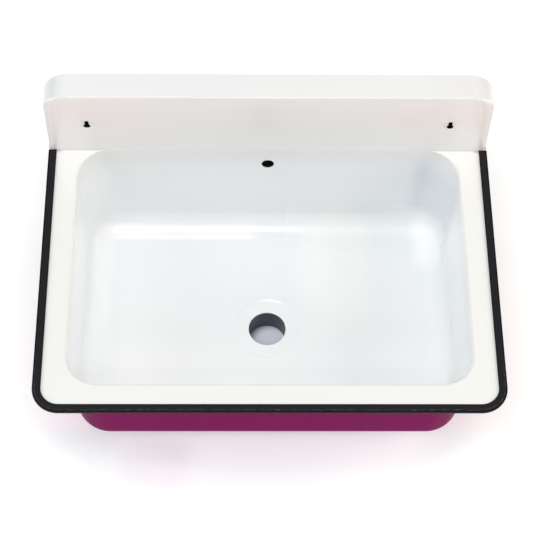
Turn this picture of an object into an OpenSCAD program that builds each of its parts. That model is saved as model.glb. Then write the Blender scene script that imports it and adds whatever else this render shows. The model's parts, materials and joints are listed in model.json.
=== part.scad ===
// Wall-hung bucket sink of enamelled pressed steel, in millimetres.
// X runs along the wall, +Y points into the wall and +Z up. The wall is the plane y = 0, and the
// origin is the middle of the backsplash's top edge, where that edge meets the wall.
// Pieces are drawn from the rim's own datum: y = 0 on the backsplash's face, z = 0 on top of the rim.

/* [Bowl] */
// Width of the bowl's mouth, between the side walls at rim height
mouth_w = 610; // [480:1:900]
// Depth of the mouth from the backsplash's face to the front wall, at rim height
mouth_d = 420; // [360:1:600]
// Radius of the mouth's four corners, seen from above
mouth_corner_r = 51; // [42:1:90]
// Depth of the bowl from the rim's top to the edge of the floor
bowl_depth = 197; // [120:1:300]
// Draft of the walls from upright, in degrees
wall_draft = 3; // [0.5:0.1:5]
// Radius between walls and floor, inside the bowl
floor_r = 35; // [12:1:45]
// Radius of the bend from the rim down into the bowl
mouth_bend_r = 4.5; // [3:0.5:9]
// Thickness of the enamelled sheet
sheet_t = 2; // [1.2:0.1:2.8]
// Thickness of the coloured coat on the outside
coat_t = 0.4; // [0.3:0.05:0.8]

/* [Rim] */
// Width of the rim beside the bowl, out to the cut edge of the sheet
rim_side = 43; // [34:1:80]
// Width of the rim in front of the bowl, out to the cut edge of the sheet
rim_front = 42.3; // [34:0.1:80]
// Radius of the rim's two front corners
rim_corner_r = 38; // [24:1:90]
// Width of the flange that lies under the backsplash
rim_back = 18; // [16:1:30]

/* [Outlet] */
// Diameter of the outlet hole
outlet_d = 60; // [40:1:90]
// Distance of the outlet's centre in front of the backsplash's face
outlet_back = 213; // [190:1:240]
// Diameter of the recess round the outlet
recess_d = 106; // [96:1:130]
// Depth of that recess
recess_depth = 1.5; // [1:0.5:6]
// Width of the recess's sloping edge
recess_slope = 6; // [3:0.5:8]
// Diameter of the part of the floor that falls to the outlet
fall_d = 310; // [200:5:320]
// Height that the floor falls on the way to the recess
fall_h = 4.5; // [1:0.5:8]

/* [Outlet neck] */
// Length of the neck's tube below its flange
neck_len = 40; // [15:1:60]
// Thickness of the neck's tube
neck_wall = 2; // [1.2:0.1:4]
// Diameter of the neck's flange
neck_flange_d = 84; // [78:1:88]
// Thickness of that flange
neck_flange_t = 2; // [1:0.1:4]
// Radius of the weld fillet between flange and tube
neck_fillet_r = 3; // [1:0.5:4]

/* [Backsplash] */
// Height of the backsplash above the rim
splash_h = 141; // [100:1:260]
// Depth of its top, from the face back to the wall
shelf_d = 45; // [34:1:80]
// Width of its rounded upright edges at the rim, seen from the front
edge_w_low = 14; // [8:1:20]
// Width of the same edges at the top
edge_w_high = 28; // [17:1:36]
// How far back those edges are rounded, from the face
edge_d = 13; // [8:1:20]
// Radius of its two top corners, seen from the front
top_corner_r = 42; // [20:1:70]
// Radius of the fold between face and top
fold_r = 3.5; // [3:0.5:12]
// Diameter of the overflow hole
overflow_d = 19.6; // [12:0.2:30]
// Distance of the overflow hole below the rim
overflow_drop = 35; // [24:1:60]

/* [Keyholes] */
// Distance between the two keyholes
keyhole_span = 569; // [300:1:600]
// Diameter of the round part, which the screw's head goes through
keyhole_head_d = 10.6; // [9:0.1:14]
// Width of the slot, which the screw's shank rises into
keyhole_slot_w = 5.4; // [4:0.1:7]
// Height of the round part's centre above the rim
keyhole_z = 65.8; // [30:0.1:90]
// Height of the slot's round top above the round part's centre
keyhole_rise = 13.2; // [10:0.1:20]

/* [Edge trim] */
// Thickness of the trim outside the rim's cut edge
trim_web = 2.2; // [1.5:0.1:4]
// Width of the trim, seen from above
trim_w = 12.8; // [9:0.1:20]
// Thickness of the lip on top of the rim
trim_lip_top = 1.8; // [1.2:0.1:4]
// Thickness of the lip under the rim
trim_lip_under = 1.6; // [1.2:0.1:4]
// Room between the slot and the sheet, on each side, which the gripping fins take up
trim_room = 0.5; // [0.3:0.1:1.2]
// Gap between a fin's tip, or the bottom of the slot, and the sheet
trim_clear = 0.1; // [0.05:0.01:0.3]
// Number of gripping fins on each side of the slot
trim_fins = 3; // [2:1:4]
// Radius of the trim's two outer edges
trim_round_r = 1.6; // [0.8:0.1:2.2]

/* [Hidden] */
$fn = 64;

// Cuts run this far past the faces that they open
past = 1;

// The bowl's corners turn about these centres, from which every section of it is measured
corner_x = mouth_w / 2 - mouth_corner_r;
corner_back_y = -mouth_corner_r;
corner_front_y = mouth_corner_r - mouth_d;

// How far an upright offset moves a drafted wall sideways at one height
draft_stretch = 1 / cos(wall_draft);
// The floor's radius shrinks where the corner has no room left for it
corner_r_low = mouth_corner_r - bowl_depth * tan(wall_draft);
floor_r_used = min(floor_r, corner_r_low - 4);
// Centre of the curve between wall and floor, from the corner's centre and the rim's top
floor_cz = floor_r_used - bowl_depth;
floor_cx = mouth_corner_r + floor_cz * tan(wall_draft) - floor_r_used * draft_stretch;
// Centre of the bend at the mouth
bend_cz = -mouth_bend_r;
bend_cx = mouth_corner_r + bend_cz * tan(wall_draft) + mouth_bend_r * draft_stretch;
// The bend ends this far in front of the backsplash's face
bend_stop = (mouth_bend_r + 1) * tan(wall_draft) + 0.05;
// Top of the coat, just below the bend
coat_top_z = bend_cz - 0.3;

// The cut edge of the rim
rim_x = mouth_w / 2 + rim_side;
rim_front_y = -mouth_d - rim_front;

// The outlet
recess_r = recess_d / 2;
recess_z = -bowl_depth - fall_h - recess_depth;
neck_top_z = recess_z - sheet_t;

// The rear wall leans forward from the backsplash's face, and the overflow is drilled square to it
overflow_y = -overflow_drop * tan(wall_draft);

// The backsplash's ends stand flush with the outside of the trim
splash_x = rim_x + trim_clear + trim_web;
// Number of flats in each of its upright edges, its top corners and its fold
edge_steps = 10;
corner_steps = 8;
fold_steps = 8;

// The trim's slot
slot_top_z = trim_room;
slot_under_z = -sheet_t - trim_room;
fin_w = 1.2;
fin_pitch = (trim_w - trim_web - trim_clear) / trim_fins;

// From the rim's datum to the part's origin on the wall
module from_rim() {
  translate([0, -shelf_d, -splash_h]) children();
}

// A section carried once round the bowl. Its x is the distance out from a corner's centre, its y the height.
module round_the_bowl() {
  run_x = 2 * corner_x;
  run_y = corner_back_y - corner_front_y;
  for (side = [-1, 1]) {
    // Rear and front walls
    translate([side * corner_x, side > 0 ? corner_back_y : corner_front_y, 0])
      rotate([90, 0, side * 90])
        translate([0, 0, -run_x]) linear_extrude(run_x) children();
    // Side walls
    translate([side * corner_x, side > 0 ? corner_front_y : corner_back_y, 0])
      rotate([90, 0, side > 0 ? 0 : 180])
        translate([0, 0, -run_y]) linear_extrude(run_y) children();
  }
  corners = [
    [corner_x, corner_back_y, 0], [-corner_x, corner_back_y, 90],
    [-corner_x, corner_front_y, 180], [corner_x, corner_front_y, 270]
  ];
  for (c = corners)
    translate([c[0], c[1], 0]) rotate([0, 0, c[2]]) rotate_extrude(angle = 90) children();
}

// Distance of a wall from the corner's centre, at one height and one distance from the inner surface
function wall_x(grow, z) = mouth_corner_r + grow * draft_stretch + z * tan(wall_draft);

// A radius grown a little, so that an arc really crosses the two lines that it would only touch
function crossing(r) = r + max(0.0015 * r, 0.003);

// Half section of all that lies inside one surface of the sheet, from the floor up to a level
module body_section(grow, top) {
  low = -bowl_depth - grow;
  curve_r = floor_r_used + grow;
  reach = curve_r + past;
  intersection() {
    polygon([[0, top], [wall_x(grow, top), top], [wall_x(grow, low), low], [0, low]]);
    union() {
      translate([floor_cx, floor_cz]) circle(crossing(curve_r));
      polygon([
        [0, top + past], [wall_x(grow, top) + past, top + past],
        [floor_cx + reach * cos(wall_draft), floor_cz - reach * sin(wall_draft)],
        [floor_cx, floor_cz], [floor_cx, low - past], [0, low - past]
      ]);
    }
  }
}

// All that lies inside one surface of the sheet
module whole_body(grow, top) {
  round_the_bowl() body_section(grow, top);
  translate([-corner_x, corner_front_y, -bowl_depth - grow])
    cube([2 * corner_x, corner_back_y - corner_front_y, bowl_depth + grow + top]);
}

// Half section of what a bend of this radius leaves in the corner between wall and rim, up to a level
module bend_section(grow, r, top) {
  foot_z = bend_cz + r * sin(wall_draft);
  inner_x = wall_x(grow, foot_z) - past;
  difference() {
    translate([inner_x, foot_z]) square([bend_cx - inner_x, top - foot_z]);
    translate([bend_cx, bend_cz]) circle(crossing(r));
  }
}

// Cone frustum that dishes the floor down to the recess, offset downwards by a thickness
module floor_dish(drop) {
  translate([0, -outlet_back, -bowl_depth - drop]) {
    translate([0, 0, -fall_h]) cylinder(h = fall_h, r1 = recess_r, r2 = fall_d / 2);
    translate([0, 0, -fall_h - recess_depth])
      cylinder(h = recess_depth, r1 = recess_r - recess_slope, r2 = recess_r);
  }
}

// The flat rim, before the mouth is cut out of it
module rim_plate() {
  rim_d = rim_back - rim_front_y;
  translate([0, 0, -sheet_t]) linear_extrude(sheet_t) {
    translate([-splash_x, 0]) square([2 * splash_x, rim_back]);
    translate([-rim_x, rim_front_y + rim_corner_r])
      square([2 * rim_x, rim_d - rim_corner_r]);
    translate([-rim_x + rim_corner_r, rim_front_y])
      square([2 * (rim_x - rim_corner_r), rim_corner_r + past]);
    for (side = [-1, 1])
      translate([side * (rim_x - rim_corner_r), rim_front_y + rim_corner_r]) circle(rim_corner_r);
  }
}

// Drawn steel pan: rim, bend, drafted walls, floor, outlet recess and holes
module bowl() {
  color("white") from_rim() difference() {
    union() {
      rim_plate();
      whole_body(sheet_t, -sheet_t / 2);
      round_the_bowl() bend_section(sheet_t, mouth_bend_r - sheet_t, -sheet_t / 2);
      floor_dish(sheet_t);
    }
    whole_body(0, past);
    bowl_mouth_bend();
    floor_dish(0);
    outlet_hole();
    overflow_hole();
  }
}

// What the bend takes off the sharp edge of the mouth. It dies out at the backsplash's face.
module bowl_mouth_bend() {
  difference() {
    round_the_bowl() bend_section(0, mouth_bend_r, past);
    translate([-rim_x, -bend_stop, -mouth_bend_r - past])
      cube([2 * rim_x, rim_back, mouth_bend_r + 3 * past]);
  }
}

module outlet_hole() {
  translate([0, -outlet_back, neck_top_z - past]) cylinder(h = bowl_depth, d = outlet_d);
}

// Drilled square to the leaning rear wall
module overflow_hole() {
  reach = 10;
  translate([0, overflow_y, -overflow_drop]) rotate([-90 - wall_draft, 0, 0])
    translate([0, 0, -reach / 2]) cylinder(h = reach, d = overflow_d);
}

// Coloured enamel on the outside of the walls and the floor
module outer_coat() {
  color("#7e265c") from_rim() difference() {
    union() {
      whole_body(sheet_t + coat_t, coat_top_z);
      floor_dish(sheet_t + coat_t);
    }
    whole_body(sheet_t, coat_top_z + past);
    floor_dish(sheet_t);
    // It leaves the flange of the neck bare
    translate([0, -outlet_back, neck_top_z - coat_t - past])
      cylinder(h = coat_t + recess_depth, d = neck_flange_d);
    overflow_hole();
  }
}

// Flanged tube under the outlet hole
module outlet_neck() {
  flange_z = neck_top_z - neck_flange_t;
  tube_r = outlet_d / 2 + neck_wall;
  color("#3b4049") from_rim() translate([0, -outlet_back, 0]) rotate_extrude() difference() {
    union() {
      translate([0, flange_z]) square([neck_flange_d / 2, neck_flange_t]);
      translate([0, flange_z - neck_len]) square([tube_r, neck_len]);
      difference() {
        translate([0, flange_z - neck_fillet_r]) square([tube_r + neck_fillet_r, neck_fillet_r]);
        translate([tube_r + neck_fillet_r, flange_z - neck_fillet_r]) circle(neck_fillet_r);
      }
    }
    translate([0, flange_z - neck_len - past])
      square([outlet_d / 2, neck_len + neck_flange_t + 2 * past]);
  }
}

// One level of the backsplash's skin, from the left rear edge round the face to the right rear edge. x is its
// half width and y its face. Each end turns back to the wall through a quarter of an ellipse, w wide and d deep.
function splash_level(x, y, w, d, z) = concat(
  [[-x, shelf_d, z]],
  [for (i = [0:edge_steps]) let (a = 180 + 90 * i / edge_steps)
    [-x + w + w * cos(a), y + d + d * sin(a), z]],
  [for (i = [0:edge_steps]) let (a = 270 + 90 * i / edge_steps)
    [x - w + w * cos(a), y + d + d * sin(a), z]],
  [[x, shelf_d, z]]
);

// Angles of the levels round the top corners: first below the fold, then round the fold
corner_foot = splash_h - top_corner_r;
fold_foot = splash_h - fold_r;
fold_angle = asin((fold_foot - corner_foot) / top_corner_r);
function splash_angles() = concat(
  [for (i = [0:corner_steps - 1]) fold_angle * i / corner_steps],
  [for (i = [0:fold_steps]) asin((fold_foot + fold_r * sin(90 * i / fold_steps) - corner_foot) / top_corner_r)]
);

// The whole skin at a distance in from the outer surface. Its upright edges widen on the way up. Round the
// top corners they are used up by the corner, until the fold alone is left.
function splash_skin(inset) = concat(
  [splash_level(splash_x - inset, inset, edge_w_low - inset, edge_d - inset, 0)],
  [for (a = splash_angles()) let (
    z = corner_foot + top_corner_r * sin(a),
    lift = max(0, min(1, (z - fold_foot) / fold_r)),
    turn = sqrt(1 - lift * lift),
    full_w = edge_w_low + (edge_w_high - edge_w_low) * min(1, z / splash_h),
    w = max(fold_r, full_w - top_corner_r * (1 - cos(a))),
    d = fold_r + (edge_d - fold_r) * (w - fold_r) / (full_w - fold_r)
  ) splash_level(
    splash_x - top_corner_r * (1 - cos(a)) - inset * cos(a),
    fold_r - (fold_r - inset) * turn,
    w - inset * cos(a),
    d - inset * turn,
    z - inset * sin(a)
  )]
);

// Pressed upstand: face, folded top and folded ends, open behind and below
module splash_shell() {
  outer = splash_skin(0);
  inner = splash_skin(sheet_t);
  levels = len(outer);
  around = len(outer[0]);
  count = levels * around;
  points = [for (skin = [outer, inner]) for (level = skin) for (p = level) p];
  function at(skin, level, i) = skin * count + level * around + i;
  walls = [for (k = [0:levels - 2]) for (i = [0:around - 2]) for (f = [
    [at(0, k, i), at(0, k + 1, i + 1), at(0, k, i + 1)],
    [at(0, k, i), at(0, k + 1, i), at(0, k + 1, i + 1)],
    [at(1, k, i), at(1, k, i + 1), at(1, k + 1, i + 1)],
    [at(1, k, i), at(1, k + 1, i + 1), at(1, k + 1, i)]
  ]) f];
  foot = [for (i = [0:around - 2]) [at(0, 0, i), at(0, 0, i + 1), at(1, 0, i + 1), at(1, 0, i)]];
  rear = [for (k = [0:levels - 2]) for (f = [
    [at(0, k, 0), at(1, k, 0), at(1, k + 1, 0), at(0, k + 1, 0)],
    [at(0, k, around - 1), at(0, k + 1, around - 1), at(1, k + 1, around - 1), at(1, k, around - 1)]
  ]) f];
  top = [
    [for (i = [around - 1:-1:0]) at(0, levels - 1, i)],
    [for (i = [0:around - 1]) at(1, levels - 1, i)],
    [at(0, levels - 1, 0), at(1, levels - 1, 0), at(1, levels - 1, around - 1), at(0, levels - 1, around - 1)]
  ];
  polyhedron(points = points, faces = concat(walls, foot, rear, top), convexity = 6);
}

// Round hole for the screw's head, with a slot above it for the shank
module keyhole() {
  reach = 4 * sheet_t;
  rotate([90, 0, 0]) translate([0, 0, -reach / 2]) {
    cylinder(h = reach, d = keyhole_head_d);
    translate([0, keyhole_rise - keyhole_slot_w / 2, 0]) cylinder(h = reach, d = keyhole_slot_w);
    translate([-keyhole_slot_w / 2, 0, 0])
      cube([keyhole_slot_w, keyhole_rise - keyhole_slot_w / 2, reach]);
  }
}

module backsplash() {
  color("#f4f1f1") from_rim() difference() {
    splash_shell();
    for (side = [-1, 1])
      translate([side * keyhole_span / 2, 0, keyhole_z]) keyhole();
  }
}

// Section of the trim. Its x is the distance out from the rim's cut edge, its y the height from the rim's top.
module trim_section() {
  top_z = slot_top_z + trim_lip_top;
  under_z = slot_under_z - trim_lip_under;
  inner_x = trim_web + trim_clear - trim_w;
  outer_x = trim_web + trim_clear;
  difference() {
    union() {
      translate([inner_x, under_z]) square([trim_w - trim_round_r, top_z - under_z]);
      translate([inner_x, under_z + trim_round_r])
        square([trim_w, top_z - under_z - 2 * trim_round_r]);
      for (z = [under_z + trim_round_r, top_z - trim_round_r])
        translate([outer_x - trim_round_r, z]) circle(trim_round_r);
    }
    translate([inner_x - past, slot_under_z])
      square([trim_clear - inner_x + past, slot_top_z - slot_under_z]);
  }
  for (i = [0:trim_fins - 1]) {
    x = inner_x + i * fin_pitch;
    translate([x, trim_clear]) square([fin_w, trim_room]);
    translate([x, slot_under_z]) square([fin_w, trim_room - trim_clear]);
  }
}

// Push-on strip along one side, round the front and back along the other side
module edge_trim() {
  side_run = -rim_front_y - rim_corner_r;
  front_run = 2 * (rim_x - rim_corner_r);
  color("#262126") from_rim() {
    for (side = [-1, 1]) {
      translate([side * rim_x, 0, 0]) rotate([90, 0, 0]) linear_extrude(side_run)
        mirror([side > 0 ? 0 : 1, 0, 0]) trim_section();
      translate([side * (rim_x - rim_corner_r), rim_front_y + rim_corner_r, 0])
        rotate([0, 0, side > 0 ? 270 : 180]) rotate_extrude(angle = 90)
          translate([rim_corner_r, 0]) trim_section();
    }
    translate([front_run / 2, rim_front_y, 0]) rotate([90, 0, -90])
      linear_extrude(front_run) trim_section();
  }
}

bowl();
backsplash();
outer_coat();
outlet_neck();
edge_trim();
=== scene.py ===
# %% [markdown]
# # A wall-hung bucket sink in enamelled steel
# A steel sheet is drawn into a pan, an upstand is welded on behind it, and both are dipped and fired
# with glass enamel. A black strip is pushed over the cut edge of the rim. The exact solids of all this
# are already packed as a frame. This lesson loads that frame, then dresses it: finer meshes for the
# pressed sheets, Geometry Nodes for the strip, and procedural materials for the fired glass.

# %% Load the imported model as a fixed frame
import bmesh
import bpy
import json
import math
import numpy as np
from mathutils import Matrix, Vector

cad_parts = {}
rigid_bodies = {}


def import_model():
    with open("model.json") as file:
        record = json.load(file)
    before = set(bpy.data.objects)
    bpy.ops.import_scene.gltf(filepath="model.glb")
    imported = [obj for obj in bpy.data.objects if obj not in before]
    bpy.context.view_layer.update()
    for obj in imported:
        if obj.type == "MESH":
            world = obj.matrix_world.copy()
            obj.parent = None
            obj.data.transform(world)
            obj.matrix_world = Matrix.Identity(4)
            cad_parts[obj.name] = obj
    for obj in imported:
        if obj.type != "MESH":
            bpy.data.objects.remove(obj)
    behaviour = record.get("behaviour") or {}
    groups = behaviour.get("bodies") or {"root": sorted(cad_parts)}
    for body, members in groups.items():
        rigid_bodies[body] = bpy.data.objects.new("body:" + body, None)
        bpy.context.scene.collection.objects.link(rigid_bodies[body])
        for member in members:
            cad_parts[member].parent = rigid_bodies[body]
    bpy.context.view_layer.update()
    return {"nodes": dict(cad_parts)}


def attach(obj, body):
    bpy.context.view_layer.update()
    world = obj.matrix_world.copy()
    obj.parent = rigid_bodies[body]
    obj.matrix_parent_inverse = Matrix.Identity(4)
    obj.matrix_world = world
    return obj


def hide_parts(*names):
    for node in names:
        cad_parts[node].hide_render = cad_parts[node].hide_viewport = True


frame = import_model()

print("nodes in the frame:", sorted(frame["nodes"]))

# %% [markdown]
# ## The camera
# The place of the camera was worked out from about 40 edges of the real sink: it stands just over two
# and a half metres away and looks down at 59 degrees through a long lens. A camera in Blender looks
# straight down before it is turned. The large turn tilts it up, and two small ones swing and roll it.

# %% Place the camera
CAMERA_PLACE = (-0.04508, -1.60538, 2.0994)
CAMERA_TURNS = (("Z", -1.751), ("X", 90 - 59.022), ("Z", 1.601))
SENSOR_WIDTH, FOCAL_SHARE = 36, 1702.69 / 533


def in_scene(name, data):
    """A new object of the scene, at the origin."""
    made = bpy.data.objects.new(name, data)
    bpy.context.scene.collection.objects.link(made)
    return made


aimed = Matrix.Translation(CAMERA_PLACE)
for axis, degrees in CAMERA_TURNS:
    aimed = aimed @ Matrix.Rotation(math.radians(degrees), 4, axis)
lens = bpy.data.cameras.new("camera")
lens.sensor_width = SENSOR_WIDTH
lens.lens = SENSOR_WIDTH * FOCAL_SHARE
lens.clip_end = 50
camera = in_scene("camera", lens)
camera.matrix_world = aimed
bpy.context.scene.camera = camera
print("focal length in mm:", round(lens.lens, 2))

# %% [markdown]
# ## Where numbers come from
# Lengths are in millimetres. Nearly all are also in the CAD source, and a few small forms are only here:
# the ease of the bowl's corners and mouth, the outlet's recess, the upstand's fold and the slots of the
# keyholes. All are measured from the rim: y is 0 on the upstand's face and z is 0 on top of the rim.
# One function moves such points to the frame's own origin and turns them into metres.

# %% The sink's sizes, and the step from the rim to the frame
SHEET, COAT = 2.0, 0.4
MOUTH_R, DRAFT, BOWL_DEPTH, FLOOR_R, BEND_R = 51.0, math.radians(3), 197.0, 35.0, 4.5
CORNER_X, CORNER_BACK, CORNER_FRONT = 254.0, -51.0, -369.0
CORNER_EASE, MOUTH_EASE = 9.0, 2.4
RIM_X, RIM_FRONT, RIM_BACK, RIM_CORNER_R, UPSTAND_X = 348.0, -462.3, 18.0, 38.0, 350.3
UPSTAND_H, SHELF = 141.0, 45.0
OUTLET_Y, OUTLET_R, FALL_R, FALL_H = -213.0, 30.0, 155.0, 4.5
RECESS_R, RECESS_DEPTH, RECESS_SLOPE = 55.5, 1.5, 4.2
OUTLET, OUTLET_Z = np.array([0, OUTLET_Y]), -BOWL_DEPTH - FALL_H - RECESS_DEPTH


def from_rim(points):
    """Millimetres from the rim's datum to metres in the frame."""
    return (np.asarray(points, float) - [0, SHELF, UPSTAND_H]) / 1000


print("outlet in the frame:", from_rim([*OUTLET, OUTLET_Z]))

# %% [markdown]
# ## Turning rows of points into a sheet
# A pressed sheet is a section carried along a line, so its mesh is a grid: rows along the section and
# columns round the bowl. Where both come back to their start, the grid closes on itself, and the sheet
# has a real thickness with no open edge.

# %% Helpers for grid meshes
def object_of(name, points, faces):
    """A new object in the frame's own place, with smooth faces."""
    mesh = bpy.data.meshes.new(name)
    mesh.from_pydata([tuple(p) for p in points], [], [tuple(f) for f in faces])
    mesh.validate()
    mesh.shade_smooth()
    return in_scene(name, mesh)


def grid(rows, columns, closed=True):
    """Faces of a grid whose columns join up with the first one, as do its rows if it is closed."""
    def at(i, j):
        return i % rows * columns + j % columns

    steps = [(i, j) for i in range(rows if closed else rows - 1) for j in range(columns)]
    return [(at(i, j), at(i, j + 1), at(i + 1, j + 1), at(i + 1, j)) for i, j in steps]


def turned_outwards(thing):
    """Turns every face over if the volume is negative, because the faces then point inwards."""
    solid = bmesh.new()
    solid.from_mesh(thing.data)
    litres = solid.calc_volume(signed=True) * 1000
    solid.free()
    if litres < 0:
        thing.data.flip_normals()
    print(thing.name, "has", round(abs(litres), 4), "litres and", len(thing.data.polygons), "faces")
    return thing


def crease(thing, degrees=32):
    """Keeps edges sharper than this angle sharp, and everything else smooth."""
    thing.data.set_sharp_from_angle(angle=math.radians(degrees))
    return thing


print("a 3 by 4 closed grid has", len(grid(3, 4)), "faces")

# %% [markdown]
# ## The line round the bowl
# Walls and corners of the bowl are all measured from four points, the centres of its round corners.
# Each column gets a base point on the rectangle through those centres and a direction outwards. A
# section point at distance u then lies at base + u * direction, whatever its height. A press also eases
# the corners: their radius grows a little on the way down, while the straight walls stay in place.

# %% Columns round the bowl
CORNER_COLUMNS, SIDE_COLUMNS, LONG_COLUMNS = 20, 26, 44
REAR_FROM, REAR_SPAN = 0.35, 0.6


def round_the_bowl():
    """Base points and outward directions of the columns, anticlockwise seen from above."""
    base, out = [], []
    centres = [
        (CORNER_X, CORNER_BACK, 0), (-CORNER_X, CORNER_BACK, 90),
        (-CORNER_X, CORNER_FRONT, 180), (CORNER_X, CORNER_FRONT, 270),
    ]
    for k, (x, y, start) in enumerate(centres):
        for a in np.linspace(0, 90, CORNER_COLUMNS + 1):
            base.append((x, y))
            out.append((math.cos(math.radians(start + a)), math.sin(math.radians(start + a))))
        x2, y2, _ = centres[(k + 1) % 4]
        count = LONG_COLUMNS if k % 2 == 0 else SIDE_COLUMNS
        for t in np.linspace(0, 1, count + 1)[1:-1]:
            base.append((x + (x2 - x) * t, y + (y2 - y) * t))
            out.append(out[-1])
    return np.array(base), np.array(out)


base, outward = round_the_bowl()
COLUMNS = len(base)
middle_y = (CORNER_BACK + CORNER_FRONT) / 2
towards_corner = (base - [0, middle_y]) / [CORNER_X, CORNER_BACK - middle_y]
# 0 for columns at the front and the sides, up to 1 for those along the upstand
rearward = np.clip((outward[:, 1] - REAR_FROM) / REAR_SPAN, 0, 1)
print("columns round the bowl:", COLUMNS)

# %% [markdown]
# ## The drawn pan
# From the rim inwards, the sheet is flat, bends down into the wall, curves into the floor, falls a
# little towards the outlet, steps down into its recess and ends at the hole. The underside follows at
# the sheet's thickness. The bend grows smaller towards the upstand, where the two sheets meet flush.

# %% Sections of the pan
REAR_BEND_R, LEAST_R, TINY = 0.6, 0.15, 1e-6


def smooth(share):
    """Eases a share from 0 to 1 in and out."""
    return share * share * (3 - 2 * share)


def arc(x, y, radius, start, end, count):
    """Points along an arc, from one angle to another."""
    return [(x + radius * math.cos(a), y + radius * math.sin(a)) for a in np.linspace(start, end, count)]


def mouth_r(z):
    """Corner radius of the walls before their draft. Front and sides stand in a little at the mouth."""
    near_mouth = np.clip(1 + z / (BOWL_DEPTH - FLOOR_R), 0, 1)
    return MOUTH_R - MOUTH_EASE * (1 - rearward ** 2) * near_mouth


def wall_u(grow, z):
    """Distance of a drafted wall from the corner's centre, at one height."""
    return mouth_r(z) + grow / math.cos(DRAFT) + z * math.tan(DRAFT)


def rim_edge():
    """Where each column's direction meets the outline of the flat rim."""
    found = []
    corner_x, corner_y = RIM_X - RIM_CORNER_R, RIM_FRONT + RIM_CORNER_R
    for (bx, by), (dx, dy) in zip(base, outward):
        across, along = max(abs(dx), TINY), max(abs(dy), TINY)
        side = UPSTAND_X if by + dy / across * (RIM_X - abs(bx)) > 0 else RIM_X
        t = min((side - abs(bx)) / across, (RIM_BACK - by if dy > 0 else by - RIM_FRONT) / along)
        if abs(bx + dx * t) > corner_x and by + dy * t < corner_y:
            px, py = abs(bx) - corner_x, by - corner_y
            b = px * abs(dx) + py * dy
            t = -b + math.sqrt(max(b * b - (px * px + py * py - RIM_CORNER_R ** 2), 0))
        found.append(t)
    return np.array(found)


def placed(u, z):
    """Points of one row, from its distance and its height in each column."""
    u = np.broadcast_to(u, COLUMNS)[:, None]
    z = np.broadcast_to(z, COLUMNS)[:, None]
    eased = CORNER_EASE * np.clip(-z / BOWL_DEPTH, 0, 1)
    return np.hstack([base + outward * u + (outward - towards_corner) * eased, z])


def bend_rows(inset, count):
    """Rows of the bend from the flat rim down to the wall, at a distance into the sheet."""
    big = BEND_R + (REAR_BEND_R - BEND_R) * smooth(rearward)
    centre_u = mouth_r(-big) - big * math.tan(DRAFT) + big / math.cos(DRAFT)
    radius = np.maximum(big - inset, LEAST_R)
    shift = radius - (big - inset)
    u, z = centre_u + shift / math.cos(DRAFT), -big - shift
    return [placed(*point) for point in arc(u, z, radius, math.pi / 2, math.pi - DRAFT, count)]


print("radius of the mouth's corners in mm:", mouth_r(0).min(), "to", mouth_r(0).max())

# %% [markdown]
# ## The floor and the wall
# Rows on the wall are copies of the mouth's line, but the hole is round and stands off centre. So the
# floor's rows turn from the one line into the other on their way to the outlet.

# %% Rows of the wall and the floor
WALL_ROWS, FILLET_ROWS, FLOOR_ROWS, SLOPE_ROWS = 9, 15, 22, 8
foot_u = MOUTH_R + (FLOOR_R - BOWL_DEPTH) * math.tan(DRAFT) - FLOOR_R / math.cos(DRAFT)
foot = placed(foot_u, -BOWL_DEPTH)[:, :2]
from_outlet = (foot - OUTLET) / np.linalg.norm(foot - OUTLET, axis=1)[:, None]


def fall(points):
    """How far the floor lies below its edge: a gentle dish, then the recess round the outlet."""
    away = np.hypot(points[:, 0], points[:, 1] - OUTLET_Y)
    dish = np.clip((FALL_R - away) / (FALL_R - RECESS_R), 0, 1)
    recess = np.clip((RECESS_R - away) / RECESS_SLOPE, 0, 1)
    return FALL_H * dish * dish * (2 - dish) + RECESS_DEPTH * smooth(recess)


def outlet_ring(radius, z):
    """One row round the outlet."""
    return np.hstack([OUTLET + from_outlet * radius, np.full((COLUMNS, 1), z)])


def floor_rows(grow, hole_r):
    """Rows from the wall's foot to the outlet, at a distance below the inner surface."""
    inner = OUTLET + from_outlet * (RECESS_R + 3)
    rows = [foot + (inner - foot) * t for t in np.linspace(0, 1, FLOOR_ROWS)[1:]]
    slope = [RECESS_R - RECESS_SLOPE * k / (SLOPE_ROWS - 1) for k in range(SLOPE_ROWS)]
    for radius in (slope[0] + 1.5, *slope, slope[-1] - 1.5, 41.0, hole_r + 2.5, hole_r):
        rows.append(OUTLET + from_outlet * radius)
    return [np.hstack([row, (-BOWL_DEPTH - grow - fall(row))[:, None]]) for row in rows]


def body_rows(grow, top_z):
    """Rows down one surface of the wall and round its fillet, from a height to the floor's edge."""
    centre_z, radius = FLOOR_R - BOWL_DEPTH, FLOOR_R + grow
    centre_u = wall_u(0, centre_z) - FLOOR_R / math.cos(DRAFT)
    tangent_z = centre_z - radius * math.sin(DRAFT)
    wall = [(wall_u(grow, z), z) for z in np.linspace(top_z, tangent_z, WALL_ROWS)[1:-1]]
    fillet = arc(centre_u, centre_z, radius, -DRAFT, -math.pi / 2, FILLET_ROWS)
    return [placed(u, z) for u, z in wall + fillet]


print("the floor falls", fall(np.array([[0, OUTLET_Y]]))[0], "mm to the outlet")

# %% [markdown]
# ## Joining the rows into the pan
# The rows run from the rim's edge over the top and down to the rounded lip of the hole, then back along
# the underside, so one closed grid makes the whole pan. A Solidify modifier could thicken a single skin
# too, but here the underside bends at its own smaller radius, and the cut edge of the rim is rounded.

# %% Build the pan
LIP_R = 1.0
RIM_ROUND = ((0.0, 0.5), (0.15, 0.15), (0.5, 0.0))
FLAT_TOP, FLAT_UNDER = (0.25, 0.5, 0.7, 0.85, 0.95), (0.05, 0.3, 0.6)


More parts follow.
